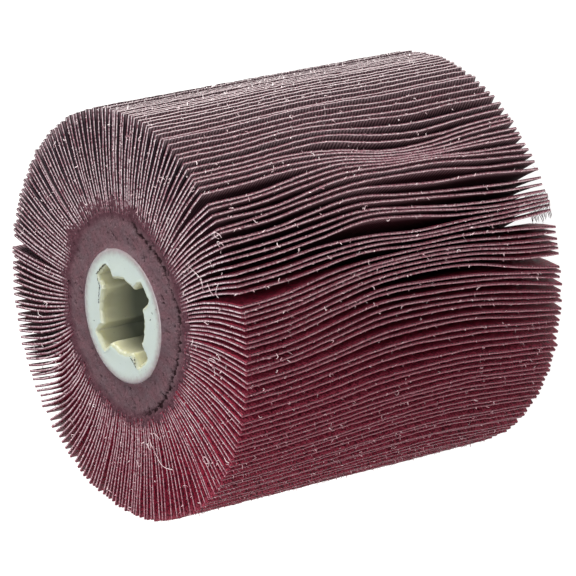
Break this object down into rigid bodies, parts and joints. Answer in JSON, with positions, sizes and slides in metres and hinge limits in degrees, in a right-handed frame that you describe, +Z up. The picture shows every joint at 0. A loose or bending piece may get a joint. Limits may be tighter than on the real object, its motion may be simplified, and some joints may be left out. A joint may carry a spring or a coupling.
{
  "type": "flap wheel",
  "caption": "Drum-shaped abrasive flap wheel: radial cloth flaps cast in resin round a nylon hub whose bore has driving slots, for a hand-held burnishing machine",
  "frame": {"origin": "Middle of the lower hub end, on the wheel's axis, where the wheel stands on its hub.", "axes": "+Z runs up the wheel's axis through the bore. +X runs through the middle of one driving slot and +Y through the next."},
  "size_m": [0.105, 0.105, 0.1],
  "materials": {
    "nylon": "moulded natural nylon, faintly translucent",
    "resin": "cast epoxy with pigment, pitted",
    "abrasive_cloth": "aluminium oxide grain on cotton twill, cut edges frayed"
  },
  "bodies": {
    "root": {"hub": "nylon", "resin_core": "resin", "flap_pack_01": "abrasive_cloth", "flap_pack_02": "abrasive_cloth", "flap_pack_03": "abrasive_cloth", "flap_pack_04": "abrasive_cloth", "flap_pack_05": "abrasive_cloth", "flap_pack_06": "abrasive_cloth", "flap_pack_07": "abrasive_cloth", "flap_pack_08": "abrasive_cloth", "flap_pack_09": "abrasive_cloth", "flap_pack_10": "abrasive_cloth", "flap_pack_11": "abrasive_cloth", "flap_pack_12": "abrasive_cloth", "flap_pack_13": "abrasive_cloth", "flap_pack_14": "abrasive_cloth", "flap_pack_15": "abrasive_cloth", "flap_pack_16": "abrasive_cloth", "flap_pack_17": "abrasive_cloth", "flap_pack_18": "abrasive_cloth", "flap_pack_19": "abrasive_cloth", "flap_pack_20": "abrasive_cloth", "flap_pack_21": "abrasive_cloth", "flap_pack_22": "abrasive_cloth", "flap_pack_23": "abrasive_cloth", "flap_pack_24": "abrasive_cloth", "flap_pack_25": "abrasive_cloth", "flap_pack_26": "abrasive_cloth", "flap_pack_27": "abrasive_cloth", "flap_pack_28": "abrasive_cloth", "flap_pack_29": "abrasive_cloth", "flap_pack_30": "abrasive_cloth", "flap_pack_31": "abrasive_cloth", "flap_pack_32": "abrasive_cloth", "flap_pack_33": "abrasive_cloth", "flap_pack_34": "abrasive_cloth", "flap_pack_35": "abrasive_cloth", "flap_pack_36": "abrasive_cloth", "flap_pack_37": "abrasive_cloth", "flap_pack_38": "abrasive_cloth"}
  },
  "joints": []
}
